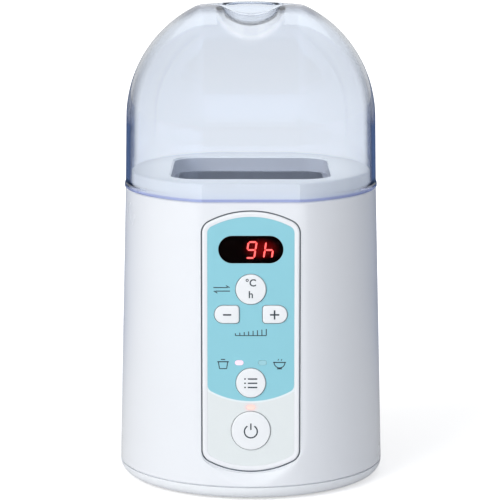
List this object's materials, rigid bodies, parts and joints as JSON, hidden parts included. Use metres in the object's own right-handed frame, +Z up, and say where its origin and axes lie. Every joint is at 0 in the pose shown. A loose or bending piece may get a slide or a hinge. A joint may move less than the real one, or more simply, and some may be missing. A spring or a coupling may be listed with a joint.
{
  "type": "yogurt maker",
  "caption": "Round countertop yogurt maker with a heated square well, a front key panel with a digit display and a clear lift-off dome with a pinch grip.",
  "frame": {"origin": "centre of the underside, on the table under the feet", "axes": "+Z up, the key panel faces -Y, +X to the right of a person facing the panel"},
  "size_m": [0.152, 0.152, 0.274],
  "materials": {
    "white_shell": "glossy moulded white",
    "base_plastic": "glossy moulded white",
    "clear_dome": "clear pale blue moulding",
    "well_metal": "satin drawn sheet",
    "panel_white": "glossy moulded white",
    "printed_film": "printed aqua film",
    "smoked_window": "smoked clear window",
    "key_plastic": "satin moulded keys",
    "lens_plastic": "milky lens",
    "rubber": "matt black rubber",
    "screw_steel": "zinc plated",
    "silicone": "heater mat silicone",
    "foam": "silicone foam",
    "board": "green circuit board",
    "dark_plastic": "moulded component body",
    "light_plastic": "natural nylon",
    "winding": "wound and taped",
    "copper": "tinned copper",
    "segment_red": "red display segment"
  },
  "bodies": {
    "housing": {"outer_housing": "white_shell", "top_deck": "white_shell", "well_liner": "well_metal", "well_screws": "screw_steel", "heater_pads": "silicone", "heater_leads": "copper", "sensor_block": "well_metal", "thermistor": "dark_plastic", "thermal_fuse": "light_plastic", "support_pad": "foam", "base_plate": "base_plastic", "rubber_feet": "rubber", "base_screws": "screw_steel", "cord_gland": "rubber", "control_panel": "panel_white", "panel_overlay": "printed_film", "display_window": "smoked_window", "display_module": "dark_plastic", "display_segments": "segment_red", "tact_switches": "dark_plastic", "indicator_leds": "lens_plastic", "indicator_lenses": "lens_plastic", "control_board": "board", "control_board_screws": "screw_steel", "control_board_chips": "dark_plastic", "power_board": "board", "transformer": "winding", "relay": "dark_plastic", "smoothing_capacitor": "dark_plastic", "terminal_block": "light_plastic", "ribbon_connectors": "light_plastic", "ribbon_cable": "light_plastic"},
    "lid": {"dome_cover": "clear_dome"},
    "unit_key": {"unit_button": "key_plastic", "unit_stem": "dark_plastic"},
    "minus_key": {"minus_button": "key_plastic", "minus_stem": "dark_plastic"},
    "plus_key": {"plus_button": "key_plastic", "plus_stem": "dark_plastic"},
    "menu_key": {"menu_button": "key_plastic", "menu_stem": "dark_plastic"},
    "start_key": {"start_button": "key_plastic", "start_stem": "dark_plastic"}
  },
  "joints": [
    {"name": "lid_lift", "type": "slide", "parent": "housing", "child": "lid", "axis": [0, 0, 1], "range_m": [0, 0.12]},
    {"name": "unit_press", "type": "slide", "parent": "housing", "child": "unit_key", "axis": [0, 0.9996, -0.0272], "range_m": [0, 0.0008], "stiffness_N_per_m": 900},
    {"name": "minus_press", "type": "slide", "parent": "housing", "child": "minus_key", "axis": [0, 0.9996, -0.0272], "range_m": [0, 0.0008], "stiffness_N_per_m": 900},
    {"name": "plus_press", "type": "slide", "parent": "housing", "child": "plus_key", "axis": [0, 0.9996, -0.0272], "range_m": [0, 0.0008], "stiffness_N_per_m": 900},
    {"name": "menu_press", "type": "slide", "parent": "housing", "child": "menu_key", "axis": [0, 0.9996, -0.0272], "range_m": [0, 0.0008], "stiffness_N_per_m": 900},
    {"name": "start_press", "type": "slide", "parent": "housing", "child": "start_key", "axis": [0, 0.9996, -0.0272], "range_m": [0, 0.0008], "stiffness_N_per_m": 900}
  ]
}
